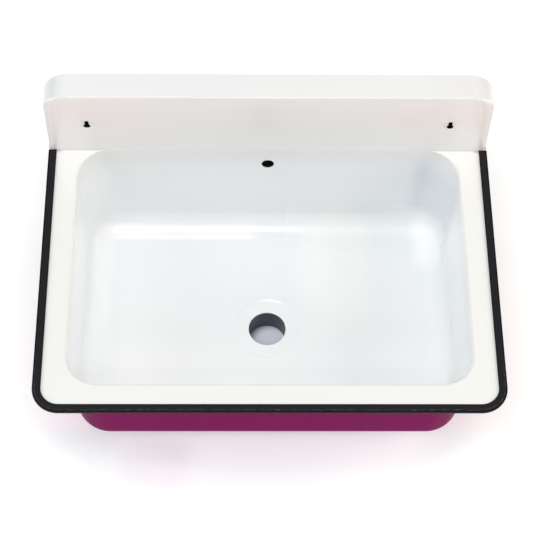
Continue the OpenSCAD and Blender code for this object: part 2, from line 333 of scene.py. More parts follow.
def pan_rows():
    """Rows from the rim's edge over the top to the hole, and back along the underside."""
    edge_u = rim_edge()
    flat_u = edge_u - RIM_ROUND[-1][0]
    over, under = bend_rows(0, 9), bend_rows(SHEET, 7)
    over_u, under_u = (np.linalg.norm(bend[0][:, :2] - base, axis=1) for bend in (over, under))
    rows = [placed(edge_u - back, -drop) for back, drop in RIM_ROUND]
    rows += [placed(flat_u + (over_u - flat_u) * t, 0) for t in FLAT_TOP]
    rows += over + body_rows(0, -BEND_R) + floor_rows(0, OUTLET_R + LIP_R)
    for a in map(math.radians, (22, 45, 68, 90)):
        inward, drop = LIP_R * math.sin(a), LIP_R * (1 - math.cos(a))
        rows.append(outlet_ring(OUTLET_R + LIP_R - inward, OUTLET_Z - drop))
    rows.append(outlet_ring(OUTLET_R, OUTLET_Z - SHEET))
    rows += floor_rows(SHEET, OUTLET_R + LIP_R)[::-1] + body_rows(SHEET, -BEND_R)[::-1] + under[::-1]
    rows += [placed(under_u + (flat_u - under_u) * t, -SHEET) for t in FLAT_UNDER]
    return rows + [placed(edge_u - back, drop - SHEET) for back, drop in RIM_ROUND[::-1]]


def sheet_of(name, rows):
    """A solid sheet, from rows that come back to their start."""
    return turned_outwards(object_of(name, from_rim(np.vstack(rows)), grid(len(rows), COLUMNS)))


bowl_sheet = sheet_of("bowl_sheet", pan_rows())

# %% [markdown]
# ## Round-edged holes
# Enamel runs thick round the edge of a hole, so the edge is soft. Here a Boolean modifier takes away a
# tool shaped like the hole and flared at both faces of the sheet. The flare leaves the rounded edge.

# %% A flared punch, and the cut it makes
PUNCH_REACH, FACE_GAP = 8.0, 0.02
OVERFLOW_R, OVERFLOW_DROP = 9.8, 35.0


def on_face(line, out, centre, axes):
    """Points of a flat line, at a distance out from a face. axes are its right, up and away."""
    flat = np.hstack([line, np.full((len(line), 1), out)])
    return from_rim(np.asarray(centre) + flat @ np.array(axes))


def punch(outline, depth, centre, axes, soften):
    """Closed tool. outline(grow) gives its flat line, and soften is how far it flares."""
    stations = [(PUNCH_REACH, soften), (FACE_GAP, soften)]
    for turn in map(math.radians, (15, 30, 45, 60, 75, 90)):
        stations.append((-soften * (1 - math.cos(turn)), soften * (1 - math.sin(turn))))
    stations += [(-depth - out, grow) for out, grow in stations[::-1]]
    points = [on_face(outline(grow), out, centre, axes) for out, grow in stations]
    rows, count = len(points), len(points[0])
    ends = [tuple(range(count))[::-1], tuple(range((rows - 1) * count, rows * count))]
    return turned_outwards(object_of("punch", np.vstack(points), grid(rows, count, closed=False) + ends))


def plain_mesh(thing):
    """A mesh with the object's modifiers worked in."""
    return bpy.data.meshes.new_from_object(thing.evaluated_get(bpy.context.evaluated_depsgraph_get()))


def cut(thing, tools):
    """Takes the tools out of a piece, then removes them and the modifiers."""
    for tool in tools:
        step = thing.modifiers.new("hole", "BOOLEAN")
        step.operation, step.solver, step.object = "DIFFERENCE", "EXACT", tool
    ready = plain_mesh(thing)
    thing.modifiers.clear()
    old, thing.data = thing.data, ready
    bpy.data.meshes.remove(old)
    for tool in tools:
        bpy.data.objects.remove(tool)
    print(thing.name, "after the cut:", len(thing.data.polygons), "faces")
    return crease(thing)


def round_hole(radius, count=64):
    """Outline of a round hole that flares by a given amount."""
    turn = np.linspace(0, 2 * math.pi, count, endpoint=False)
    return lambda grow: np.stack([np.cos(turn), np.sin(turn)], axis=1) * (radius + grow)


overflow_centre = (0, -OVERFLOW_DROP * math.tan(DRAFT), -OVERFLOW_DROP)
lean = ((1, 0, 0), (0, math.sin(DRAFT), math.cos(DRAFT)), (0, -math.cos(DRAFT), math.sin(DRAFT)))
cut(bowl_sheet, [punch(round_hole(OVERFLOW_R), SHEET, overflow_centre, lean, soften=0.7)])

# %% [markdown]
# ## The coloured coat
# The outside of the bowl carries a second, coloured enamel. This layer of fired glass stops just below
# the rim's bend and leaves the outlet neck's flange bare, so it gets its own thin shell round the walls.

# %% Build the coat
COAT_TOP, NECK_FLANGE_R = -BEND_R - 0.3, 42.0


def coat_rows(grow):
    """Rows of one surface of the coat, at a distance outside the bowl's inner surface."""
    rows = [placed(wall_u(grow, COAT_TOP), COAT_TOP)] + body_rows(grow, COAT_TOP)
    for row in floor_rows(grow, NECK_FLANGE_R):
        if np.hypot(row[0, 0], row[0, 1] - OUTLET_Y) > NECK_FLANGE_R + 0.5:
            rows.append(row)
    return rows + [outlet_ring(NECK_FLANGE_R, OUTLET_Z - grow)]


coloured_coat = sheet_of("coloured_coat", coat_rows(SHEET + COAT) + coat_rows(SHEET)[::-1])
cut(coloured_coat, [punch(round_hole(OVERFLOW_R), SHEET + COAT, overflow_centre, lean, soften=0.2)])

# %% [markdown]
# ## The upstand
# The upstand is one sheet pressed over a form: the face turns back round two upright edges and over the
# top. Those edges are quarter ellipses that widen from foot to top. Round the two top corners they are
# used up, until only the tight fold is left. A skin lofted through levels follows such a shape best, and
# an inner skin at the sheet's thickness closes it.

# %% Build the upstand
EDGE_LOW, EDGE_HIGH, EDGE_DEEP, TOP_CORNER, FOLD = 14.0, 28.0, 13.0, 42.0, 2.8
EDGE_STEPS, CORNER_STEPS, FOLD_STEPS, FACE_STEPS = 20, 24, 12, 40


def upstand_level(x, y, wide, deep, z):
    """One level from the left rear edge round the face to the right rear edge."""
    end = [(x, y + deep + (SHELF - y - deep) * t) for t in (1.0, 0.6, 0.3)]
    for a in np.linspace(0, math.pi / 2, EDGE_STEPS + 1):
        end.append((x - wide + wide * math.cos(a), y + deep - deep * math.sin(a)))
    line = [(-px, py) for px, py in end]
    line += [((x - wide) * t, y) for t in np.linspace(-1, 1, FACE_STEPS + 1)[1:-1]]
    return [(px, py, z) for px, py in line + end[::-1]]


def edge_wide(z):
    """Width of the upright edges at a height, before the top corners use them up."""
    return EDGE_LOW + (EDGE_HIGH - EDGE_LOW) * min(1, z / UPSTAND_H)


def upstand_skin(inset):
    """All levels at a distance in from the outer surface."""
    corner_foot, fold_foot = UPSTAND_H - TOP_CORNER, UPSTAND_H - FOLD
    fold_angle = math.asin((fold_foot - corner_foot) / TOP_CORNER)
    angles = [fold_angle * i / CORNER_STEPS for i in range(CORNER_STEPS)]
    for i in range(FOLD_STEPS + 1):
        high = fold_foot + FOLD * math.sin(math.pi / 2 * i / FOLD_STEPS)
        angles.append(math.asin(min(1, (high - corner_foot) / TOP_CORNER)))
    levels = []
    for z in (t * corner_foot for t in (0, 0.1, 0.3, 0.5, 0.7, 0.85)):
        wide, deep = edge_wide(z) - inset, EDGE_DEEP - inset
        levels.append(upstand_level(UPSTAND_X - inset, inset, wide, deep, z))
    for a in angles:
        z = corner_foot + TOP_CORNER * math.sin(a)
        lift = max(0, min(1, (z - fold_foot) / FOLD))
        turn = math.sqrt(1 - lift * lift)
        used = TOP_CORNER * (1 - math.cos(a))
        wide = max(FOLD, edge_wide(z) - used)
        deep = FOLD + (EDGE_DEEP - FOLD) * (wide - FOLD) / (edge_wide(z) - FOLD)
        levels.append(upstand_level(
            UPSTAND_X - used - inset * math.cos(a),
            FOLD - (FOLD - inset) * turn,
            wide - inset * math.cos(a),
            deep - inset * turn,
            z - inset * math.sin(a),
        ))
    return np.array(levels)


def upstand():
    """Outer and inner skin, joined along the foot, the two rear edges and the top."""
    outer, inner = upstand_skin(0), upstand_skin(SHEET)
    levels, around = outer.shape[:2]
    high, last = levels - 1, around - 1

    def at(skin, k, i):
        return (skin * levels + k) * around + i

    faces = []
    for k in range(high):
        for i in range(last):
            faces.append((at(0, k, i), at(0, k, i + 1), at(0, k + 1, i + 1), at(0, k + 1, i)))
            faces.append((at(1, k, i), at(1, k + 1, i), at(1, k + 1, i + 1), at(1, k, i + 1)))
        faces.append((at(0, k, 0), at(0, k + 1, 0), at(1, k + 1, 0), at(1, k, 0)))
        faces.append((at(0, k, last), at(1, k, last), at(1, k + 1, last), at(0, k + 1, last)))
    faces += [(at(0, 0, i), at(1, 0, i), at(1, 0, i + 1), at(0, 0, i + 1)) for i in range(last)]
    faces.append(tuple(at(0, high, i) for i in range(around)))
    faces.append(tuple(at(1, high, i) for i in reversed(range(around))))
    faces.append((at(0, high, 0), at(0, high, last), at(1, high, last), at(1, high, 0)))
    points = from_rim(np.vstack([outer.reshape(-1, 3), inner.reshape(-1, 3)]))
    return turned_outwards(object_of("upstand_sheet", points, faces))


upstand_sheet = upstand()

# %% [markdown]
# ## Keyholes in the upstand
# The head of a hanging screw goes through the round part, and its shank rises into the slot above. The
# outline has the same number of points for any flare, so the same punch serves.

# %% Cut the keyholes
KEYHOLE_SPAN, HEAD_R, SLOT_HALF, KEYHOLE_Z, KEYHOLE_RISE = 569.0, 5.3, 3.2, 65.8, 13.2


def keyhole_outline(grow):
    """Round part with a slot above, from the head's centre."""
    head, half = HEAD_R + grow, SLOT_HALF + grow
    start = math.acos(half / head)
    head_line = arc(0, 0, head, math.pi - start, 2 * math.pi + start, 41)
    return np.array(head_line + arc(0, KEYHOLE_RISE - SLOT_HALF, half, 0, math.pi, 17))


upright = ((1, 0, 0), (0, 0, 1), (0, -1, 0))
keyholes = [(side * KEYHOLE_SPAN / 2, 0, KEYHOLE_Z) for side in (-1, 1)]
cut(upstand_sheet, [punch(keyhole_outline, SHEET, place, upright, soften=0.5) for place in keyholes])

# %% [markdown]
# ## The outlet neck
# Under the hole a short flanged tube takes the waste pipe. It is turned work, so its half section is
# spun round the outlet's axis, with small chamfers that catch the light.

# %% Build the neck
NECK_R, NECK_LENGTH, FLANGE, NECK_FILLET = 32.0, 40.0, 2.0, 3.0
CHAMFER, FOOT_CHAMFER, NECK_TURNS = 0.4, 0.5, 96


def neck():
    """The section as a list of radius and height, then copies of it all round."""
    top = OUTLET_Z - SHEET
    foot = top - FLANGE
    low = foot - NECK_LENGTH
    section = [
        (OUTLET_R, low + CHAMFER), (OUTLET_R, top), (NECK_FLANGE_R - CHAMFER, top),
        (NECK_FLANGE_R, top - CHAMFER), (NECK_FLANGE_R, foot + CHAMFER), (NECK_FLANGE_R - CHAMFER, foot),
        *arc(NECK_R + NECK_FILLET, foot - NECK_FILLET, NECK_FILLET, math.pi / 2, math.pi, 8),
        (NECK_R, low + FOOT_CHAMFER), (NECK_R - FOOT_CHAMFER, low), (OUTLET_R + CHAMFER, low),
    ]
    points = []
    for a in np.linspace(0, 2 * math.pi, NECK_TURNS, endpoint=False):
        points += [(r * math.cos(a), OUTLET_Y + r * math.sin(a), z) for r, z in section]
    return turned_outwards(object_of("neck_tube", from_rim(points), grid(NECK_TURNS, len(section))))


neck_tube = crease(neck())

# %% [markdown]
# ## The edge trim, swept by Geometry Nodes
# The trim is extruded, cut to length and pushed on, so it is one section along one path. The object
# holds two drawn lines: the rim's edge and the section. The tree tells them apart by their index, rounds
# the path's corners, sweeps the section along it and gives the result its material.

# %% Draw the path and the section of the trim
TRIM_W, TRIM_WEB, TRIM_ROUND, LIP_TOP, LIP_UNDER, LIP_CHAMFER = 12.8, 2.2, 1.6, 1.8, 1.6, 0.25
ROOM, CLEAR, FINS, FIN_W = 0.5, 0.1, 3, 1.2


def trim_section():
    """C section round the rim's edge, with gripping fins. x is outwards from the edge, y is up."""
    top, under = ROOM + LIP_TOP, -SHEET - ROOM - LIP_UNDER
    outer = TRIM_WEB + CLEAR
    inner = outer - TRIM_W
    line = [(inner + LIP_CHAMFER, top)]
    line += arc(outer - TRIM_ROUND, top - TRIM_ROUND, TRIM_ROUND, math.pi / 2, 0, 9)
    line += arc(outer - TRIM_ROUND, under + TRIM_ROUND, TRIM_ROUND, 0, -math.pi / 2, 9)
    line += [(inner + LIP_CHAMFER, under), (inner, under + LIP_CHAMFER)]
    pitch = (TRIM_W - TRIM_WEB - CLEAR) / FINS
    for grip, root, step in ((-SHEET - CLEAR, -SHEET - ROOM, 1), (CLEAR, ROOM, -1)):
        side = []
        for x in (inner + k * pitch for k in range(FINS)):
            side += [(x, grip), (x + FIN_W, grip), (x + FIN_W, root), (x + pitch, root)]
        side[-1] = (CLEAR, root)
        line += side[::step]
    return line + [(inner, top - LIP_CHAMFER)]


def drawn_line(curve, points, closed):
    """Adds one poly line to a curve."""
    spline = curve.splines.new("POLY")
    spline.points.add(len(points) - 1)
    for target, p in zip(spline.points, points):
        target.co = (*p, 1)
    spline.use_cyclic_u = closed


drawing = bpy.data.curves.new("trim_drawing", "CURVE")
drawing.dimensions = "3D"
corners = [(-RIM_X, 0, 0), (-RIM_X, RIM_FRONT, 0), (RIM_X, RIM_FRONT, 0), (RIM_X, 0, 0)]
drawn_line(drawing, from_rim(corners), False)
# Curve to Mesh turns the section over on this path, so its height is drawn upside down
drawn_line(drawing, [(x / 1000, -y / 1000, 0) for x, y in trim_section()], True)
trim_drawing = in_scene("trim_drawing", drawing)
print("points in the trim's section:", len(trim_section()))

# %% [markdown]
# ## The tree that sweeps the trim
# Fillet Curve rounds the two front corners of the path, Curve to Mesh carries the section along it, and
# Fill Caps closes the two cut ends. The length along the path and the place round the section are
# captured before the sweep and stored as a UV map, which the grain of the extrusion can follow.

# %% Build the sweep tree
def feed(tree, node, values):
    """Links sockets to a node's inputs, and sets the inputs that get a plain value."""
    for key, value in values.items():
        if isinstance(value, bpy.types.NodeSocket):
            tree.links.new(value, node.inputs[key])
        else:
            node.inputs[key].default_value = value
    return node


def new_node(tree, kind, values=None, **settings):
    """A node with its settings, and then its inputs."""
    node = tree.nodes.new(kind)
    for key, value in settings.items():
        setattr(node, key, value)
    return feed(tree, node, values or {})


def sweep_tree():
    """Drawing in, trim out. The corner's radius, its steps and the material are inputs too."""
    tree = bpy.data.node_groups.new("swept_edge_trim", "GeometryNodeTree")
    for name, way, kind in (
        ("Drawing", "INPUT", "Geometry"), ("Corner radius", "INPUT", "Float"),
        ("Corner steps", "INPUT", "Int"), ("Material", "INPUT", "Material"),
        ("Trim", "OUTPUT", "Geometry"),
    ):
        tree.interface.new_socket(name, in_out=way, socket_type="NodeSocket" + kind)
    given = new_node(tree, "NodeGroupInput").outputs
    is_path = new_node(tree, "FunctionNodeCompare", data_type="INT", operation="LESS_THAN")
    index, limit = [socket for socket in is_path.inputs if socket.type == "INT"]
    tree.links.new(new_node(tree, "GeometryNodeInputIndex").outputs[0], index)
    limit.default_value = 1
    split = new_node(tree, "GeometryNodeSeparateGeometry", {
        0: given["Drawing"], 1: is_path.outputs[0]}, domain="CURVE")
    fillet = new_node(tree, "GeometryNodeFilletCurve", {
        "Curve": split.outputs[0], "Radius": given["Corner radius"], "Count": given["Corner steps"],
    }, mode="POLY")
    stored = []
    for source in (fillet.outputs[0], split.outputs[1]):
        keep = new_node(tree, "GeometryNodeCaptureAttribute", {0: source}, domain="POINT")
        keep.capture_items.new("FLOAT", "along")
        stored.append(feed(tree, keep, {
            1: new_node(tree, "GeometryNodeSplineParameter").outputs["Length"]}))
    path, section = stored
    sweep = new_node(tree, "GeometryNodeCurveToMesh", {
        "Curve": path.outputs[0], "Profile Curve": section.outputs[0], "Fill Caps": True})
    pair = new_node(tree, "ShaderNodeCombineXYZ", {"X": path.outputs[1], "Y": section.outputs[1]})
    uv = new_node(tree, "GeometryNodeStoreNamedAttribute", {
        "Geometry": sweep.outputs[0], "Name": "trim_map", "Value": pair.outputs[0],
    }, data_type="FLOAT2", domain="CORNER")
    shaded = new_node(tree, "GeometryNodeSetShadeSmooth", {"Geometry": uv.outputs[0]})
    real = new_node(tree, "GeometryNodeRealizeInstances", {"Geometry": shaded.outputs[0]})
    finish = new_node(tree, "GeometryNodeSetMaterial", {
        "Geometry": real.outputs[0], "Material": given["Material"]})
    new_node(tree, "NodeGroupOutput", {0: finish.outputs[0]})
    return tree


trim_tree = sweep_tree()
print("nodes in the sweep tree:", len(trim_tree.nodes))

# %% [markdown]
# ## Fired glass, as node groups
# Enamel is glass over steel. Three things make it read as that: a slow ripple left by the melt, a faint
# change of tone where the glass is thicker, and edges where it is thin and the ground coat shows. Two
# node groups with named inputs make them for several finishes.

# %% Two groups for glass
def shader_group(name, inputs, outputs):
    """An empty group with float or vector inputs, and float outputs."""
    group = bpy.data.node_groups.new(name, "ShaderNodeTree")
    for label, value in {"Place": (0.0, 0.0, 0.0), **inputs}.items():
        kind = "NodeSocketVector" if isinstance(value, tuple) else "NodeSocketFloat"
        group.interface.new_socket(label, in_out="INPUT", socket_type=kind).default_value = value
    for label in outputs:
        group.interface.new_socket(label, in_out="OUTPUT", socket_type="NodeSocketFloat")
    return group, new_node(group, "NodeGroupInput").outputs


def maths(tree, operation, a, b=None, clamp=False):
    """A Math node fed by sockets or plain numbers."""
    values = {0: a} if b is None else {0: a, 1: b}
    return new_node(tree, "ShaderNodeMath", values, operation=operation, use_clamp=clamp).outputs[0]


def noise(tree, place, scale, detail=2.0):
    """Noise from 0 to 1."""
    values = {"Vector": place, "Scale": scale, "Detail": detail}
    return new_node(tree, "ShaderNodeTexNoise", values).outputs["Fac"]


def glaze_ripple():
    """Height of the melted glass: a slow wave and a fine orange peel. Tone is the wave alone."""
    group, given = shader_group("glaze_ripple", {
        "Wave size": 9.0, "Peel size": 160.0, "Peel share": 0.25}, ["Height", "Tone"])
    wave = noise(group, given["Place"], given["Wave size"], 1.0)
    peel = noise(group, given["Place"], given["Peel size"])
    height = maths(group, "ADD", wave, maths(group, "MULTIPLY", peel, given["Peel share"]))
    new_node(group, "NodeGroupOutput", {"Height": height, "Tone": wave})
    return group


def thin_glass():
    """1 where a ring round a hole has thin glass, 0 away from it, broken up a little."""
    group, given = shader_group("thin_glass", {
        "Centre": (0.0, 0.0, 0.0), "Radius": 0.03, "Width": 0.001}, ["Mask"])
    apart = new_node(group, "ShaderNodeVectorMath", {
        0: given["Place"], 1: given["Centre"]}, operation="DISTANCE").outputs["Value"]
    share = maths(group, "DIVIDE", maths(group, "SUBTRACT", apart, given["Radius"]), given["Width"])
    break_up = maths(group, "SUBTRACT", noise(group, given["Place"], 420.0), 0.5)
    noisy = maths(group, "ADD", share, maths(group, "MULTIPLY", break_up, 0.8))
    new_node(group, "NodeGroupOutput", {"Mask": maths(group, "SUBTRACT", 1.0, noisy, clamp=True)})
    return group


ripple_group, thin_group = glaze_ripple(), thin_glass()
print("shader groups:", ripple_group.name, thin_group.name)

# %% [markdown]
# ## Masks over the sink
# A tone can belong to a place, such as the rear of the floor, or to the way that the surface faces. Both
# are ramps along the axes, multiplied. Each mask is a recipe, a function that makes the nodes only in
# the tree of the material that wants it.

# %% Mask helpers
def coordinates(tree, output="Object"):
    return new_node(tree, "ShaderNodeTexCoord").outputs[output]


def blend(tree, mask, low, high):
    """Mixes two colours by a mask. Each colour is a socket or three levels."""
    low, high = ((*c, 1) if isinstance(c, tuple) else c for c in (low, high))
    return new_node(tree, "ShaderNodeMix", {0: mask, 6: low, 7: high}, data_type="RGBA").outputs[2]


def ramp_of(tree, value, start, end):
    """Smooth mask that goes from 0 to 1 as a value goes from start to end."""
    values = {"Value": value, "From Min": start, "From Max": end}
    return new_node(tree, "ShaderNodeMapRange", values, interpolation_type="SMOOTHSTEP").outputs[0]


def parts_of(tree, vector):
    """The X, Y and Z of a vector."""
    return new_node(tree, "ShaderNodeSeparateXYZ", {0: vector}).outputs


def product(tree, values):
    share = 1.0
    for value in values:
        share = maths(tree, "MULTIPLY", value, share)
    return share


def mask_over(output, spans):
    """Ramps over a coordinate output: from 0 at a first to 1 at a second value on each axis, and back
    from 1 at a third to 0 at a fourth. X and a normal's Z lose their sign, x and Y keep it."""
    def mask(tree):
        parts, ramps = parts_of(tree, coordinates(tree, output)), []
        for axis, span in spans.items():
            plain = axis in ("x", "Y") or (axis, output) == ("Z", "Object")
            value = parts[axis.upper()] if plain else maths(tree, "ABSOLUTE", parts[axis])
            ramps += [ramp_of(tree, value, *pair) for pair in (span[:2], span[:1:-1]) if pair]
        return product(tree, ramps)
    return mask


def zone(**spans):
    """Where on the sink, in metres."""
    return mask_over("Object", spans)


def facing(**spans):
    """Which way the surface faces, in shares of its normal."""
    return mask_over("Normal", spans)


def both(*masks):
    """Where several masks hold at once."""
    return lambda tree: product(tree, [mask(tree) for mask in masks])


RIM_Z = float(from_rim([0, 0, 0])[2])
print("the rim lies at", RIM_Z)

# %% [markdown]
# ## The enamel finishes
# One function builds every enamel: a base colour that drifts slightly with the ripple, a gloss, a bump
# from the ripple and a dark ground tone where the glass is thin round a hole. Other tones are laid over
# the base, and they are painted light and shade: a painted cool light in the bowl, painted shade round
# the upstand's edges and folds, and soft patches of painted light and shade over the walls and floor.

# %% Enamel materials
WAVES = {"Wave size": 7.0, "Peel size": 190.0, "Peel share": 0.12}
ENAMEL_RELIEF = 0.002
# spans for masks: a normal that points to the front or doesn't, and heights near the floor
TO_FRONT, NOT_TO_FRONT = (-0.02, -0.15), (-0.2, -0.02)
IN_FLOOR = (-0.29, -0.335)


def new_material(name):
    """A new material, its tree and its shader."""
    made = bpy.data.materials.new(name)
    made.use_nodes = True
    return made, made.node_tree, made.node_tree.nodes["Principled BSDF"]


def spread(tree, value, low, high):
    """Spreads a value from 0 to 1 over another span."""
    values = {"Value": value, "To Min": low, "To Max": high}
    return new_node(tree, "ShaderNodeMapRange", values).outputs[0]


def relief(tree, height, strength, distance):
    """Normals of a surface with small heights."""
    values = {"Height": height, "Strength": strength, "Distance": distance}
    return new_node(tree, "ShaderNodeBump", values).outputs[0]


def enamel(name, light, drift, ground, rough, bump, rings=(), tones=(), shine=0.5, dull=None):
    """Fired enamel. tones lists (mask, colour) of painted light and shade laid over the base, and rings
    lists (centre, radius, width) of thin edges round holes. dull is a mask and how much rougher the
    glass is there."""
    made, tree, shader = new_material(name)
    place = coordinates(tree)
    ripple = new_node(tree, "ShaderNodeGroup", {"Place": place, **WAVES}, node_tree=ripple_group).outputs

    def drifting(tone):
        return blend(tree, ripple["Tone"], tuple(c * drift for c in tone), tone)

    colour = drifting(light)
    for mask, tone in tones:
        colour = blend(tree, mask(tree), colour, drifting(tone))
    for centre, radius, width in rings:
        values = {"Place": place, "Centre": centre, "Radius": radius, "Width": width}
        ring = new_node(tree, "ShaderNodeGroup", values, node_tree=thin_group)
        colour = blend(tree, ring.outputs["Mask"], colour, ground)
    gloss = spread(tree, ripple["Tone"], *rough)
    if dull:
        gloss = maths(tree, "ADD", gloss, maths(tree, "MULTIPLY", dull[0](tree), dull[1]))
    feed(tree, shader, {
        "Base Color": colour, "Roughness": gloss, "Specular IOR Level": shine,
        "Normal": relief(tree, ripple["Height"], bump, ENAMEL_RELIEF),
    })
    return made


outlet_edge = tuple(from_rim([*OUTLET, OUTLET_Z - 1.2]))
white_enamel = enamel(
    "white_enamel", (0.82, 0.82, 0.80), 0.985, (0.22, 0.24, 0.28), (0.12, 0.2), 0.05,
    [(outlet_edge, 0.0299, 0.0006), (tuple(from_rim(overflow_centre)), 0.0097, 0.0006)],
    [
        # painted shade towards the upstand, then a painted cool light over all of the bowl
        (zone(Y=(-0.20, -0.08)), (0.79, 0.79, 0.775)),
        (zone(Z=(RIM_Z, RIM_Z - 0.05)), (0.82, 0.84, 0.855)),
        # painted shade on the rear of the floor, and painted light on its front
        (zone(Y=(-0.28, -0.18), Z=IN_FLOOR), (0.785, 0.81, 0.83)),
        (zone(Y=(-0.26, -0.33), Z=IN_FLOOR), (0.855, 0.87, 0.875)),
        # painted light on the middle of the rear wall, low down
        (both(facing(Y=(-0.3, -0.8)), zone(x=(-0.245, -0.19, 0.10, 0.16), Z=(-0.19, -0.24))),
         (0.838, 0.857, 0.885)),
        # painted shade on the floor right of the outlet, then painted light on the floor's left end,
        # its rear right corner and its front edge
        (zone(x=(0.02, 0.09, 0.14, 0.19), Y=(-0.31, -0.25), Z=(-0.30, -0.32)), (0.84, 0.864, 0.857)),
        (zone(x=(-0.245, -0.272), Z=(-0.318, -0.330)), (0.87, 0.907, 0.92)),
        (zone(x=(0.235, 0.258), Y=(-0.16, -0.12), Z=(-0.318, -0.330)), (0.86, 0.88, 0.89)),
        (zone(Y=(-0.335, -0.368), Z=(-0.32, -0.335)), (0.93, 0.947, 0.952)),
        # painted shade in the walls' rear right corner
        (zone(x=(0.225, 0.255), Y=(-0.14, -0.10), Z=(-0.31, -0.29, RIM_Z - 0.065, RIM_Z - 0.01)),
         (0.717, 0.737, 0.782)),
        # painted highlight on the left half of the floor's rear edge, and on the slope of the recess
        # behind the outlet
        (zone(x=(0.0, -0.04), Y=(-0.093, -0.086), Z=(-0.325, -0.331)), (0.905, 0.905, 0.905)),
        (both(facing(Y=(-0.2, -0.36)), zone(x=(-0.006, 0.002, 0.017, 0.024), Z=(-0.339, -0.3405))),
         (0.95, 0.95, 0.94)),
        # painted shade on the rim's two rear ends, beside the upstand
        (zone(X=(0.325, 0.335), Y=(-0.052, -0.044)), (0.5, 0.47, 0.49)),
    ],
    dull=(zone(x=(-0.02, 0.10), Y=(-0.12, -0.09), Z=(-0.28, -0.30)), 0.3),
)
# The upstand is the same white enamel as the bowl: its warmer face and all its tones are painted light
# and shade.
upstand_enamel_painted_shading = enamel(
    "upstand_enamel_painted_shading", (0.875, 0.835, 0.805), 0.985, (0.22, 0.24, 0.28), (0.14, 0.22), 0.05,
    tones=[
        # the face, with painted light and shade towards its ends and its foot, low down on the right and
        # the left, then painted shade in the corner where it meets the rim
        (zone(X=(0.10, 0.30)), (0.89, 0.80, 0.785)),
        (zone(Z=(-0.040, RIM_Z)), (0.865, 0.85, 0.85)),
        (zone(x=(0.08, 0.20), Z=(-0.06, -0.11)), (0.892, 0.87, 0.865)),
        (zone(x=(-0.20, -0.26), Z=(-0.06, -0.11)), (0.885, 0.862, 0.855)),
        (zone(X=(0.24, 0.27), Z=(RIM_Z + 0.0035, RIM_Z + 0.001)), (0.70, 0.70, 0.72)),
        # painted shade on the upright edges, deeper on the right one and where they turn further,
        # and on the fold along the top
        (facing(X=(0.02, 0.25), Y=TO_FRONT), (0.74, 0.67, 0.655)),
        (facing(x=(0.0, 0.25), Y=TO_FRONT), (0.69, 0.625, 0.61)),
        (facing(X=(0.3, 0.9), Y=TO_FRONT), (0.55, 0.50, 0.49)),
        (facing(Z=(0.1, 0.6), Y=TO_FRONT), (0.76, 0.76, 0.76)),
        # the shelf in a neutral painted tone, then painted shade on its right end and on the two
        # returned ends
        (facing(Y=NOT_TO_FRONT), (0.865, 0.858, 0.862)),
        (both(facing(Y=NOT_TO_FRONT), zone(x=(0.20, 0.32))), (0.835, 0.828, 0.832)),
        (facing(X=(0.1, 0.9), Y=NOT_TO_FRONT), (0.69, 0.68, 0.68)),
    ],
)
# Magenta is the coat's own colour; its darker tone on the sides is painted shade.
magenta_enamel = enamel(
    "magenta_enamel", (0.23, 0.005, 0.105), 0.9, (0.03, 0.02, 0.03), (0.3, 0.4), 0.08,
    [(outlet_edge, 0.0415, 0.0015)], [(facing(X=(0.15, 0.6)), (0.165, 0.003, 0.07))], shine=0.015,
)
ground_enamel = enamel(
    "ground_enamel", (0.055, 0.065, 0.088), 0.8, (0.02, 0.02, 0.02), (0.3, 0.45), 0.1, shine=0.3,
)
print("enamels:", white_enamel.name, upstand_enamel_painted_shading.name, magenta_enamel.name, ground_enamel.name)

# %% [markdown]
# ## The trim's finish
# The strip is extruded plastic, so its surface has fine lines along its length and a satin sheen. The
# lines come from noise on the stored UV map, stretched two hundred times along the path. Two colour
# ramps round the section hold its levels: painted shade on the inner edge and the web, and a painted
# highlight near the outer edge. At the front, coarser noise chooses between them, so the painted
# highlight breaks into brighter dashes.

# %% Trim material
TRIM_MAP_SPAN = 0.02
# millimetres round the section, level, and level in the brighter dashes at the front. The levels are
# painted shade on the inner edge and the web, and a painted highlight near the outer edge
TRIM_PAINTED_TONES = [
    (0.0, 0.006, 0.006), (1.4, 0.015, 0.017), (5.0, 0.017, 0.017), (7.8, 0.014, 0.014),
    (8.6, 0.021, 0.075), (9.7, 0.015, 0.060), (10.8, 0.006, 0.006), (13.5, 0.003, 0.003),
    (17.0, 0.003, 0.003), (18.5, 0.012, 0.012),
]
LINES_SCALE, HIGHLIGHT_BREAK_SCALE, HIGHLIGHT_BREAK_SPAN = (12, 2600, 1), (110, 900, 1), (0.46, 0.64)


def tone_ramp(tree, share, steps):
    """Colour ramp from places round the section and levels of a nearly neutral black."""
    node = new_node(tree, "ShaderNodeValToRGB", {0: share})
    stops = node.color_ramp.elements
    while len(stops) < len(steps):
        stops.new(0.5)
    for stop, (place, level) in zip(stops, steps):
        stop.position = place / 1000 / TRIM_MAP_SPAN
        stop.color = (level, level * 0.94, level * 1.1, 1)
    return node.outputs[0]


def stretched(tree, uv, scale, detail=2.0):
    """Noise with its own scale along and across the strip."""
    mapped = new_node(tree, "ShaderNodeMapping", {"Vector": uv, "Scale": scale})
    return noise(tree, mapped.outputs[0], 1.0, detail)


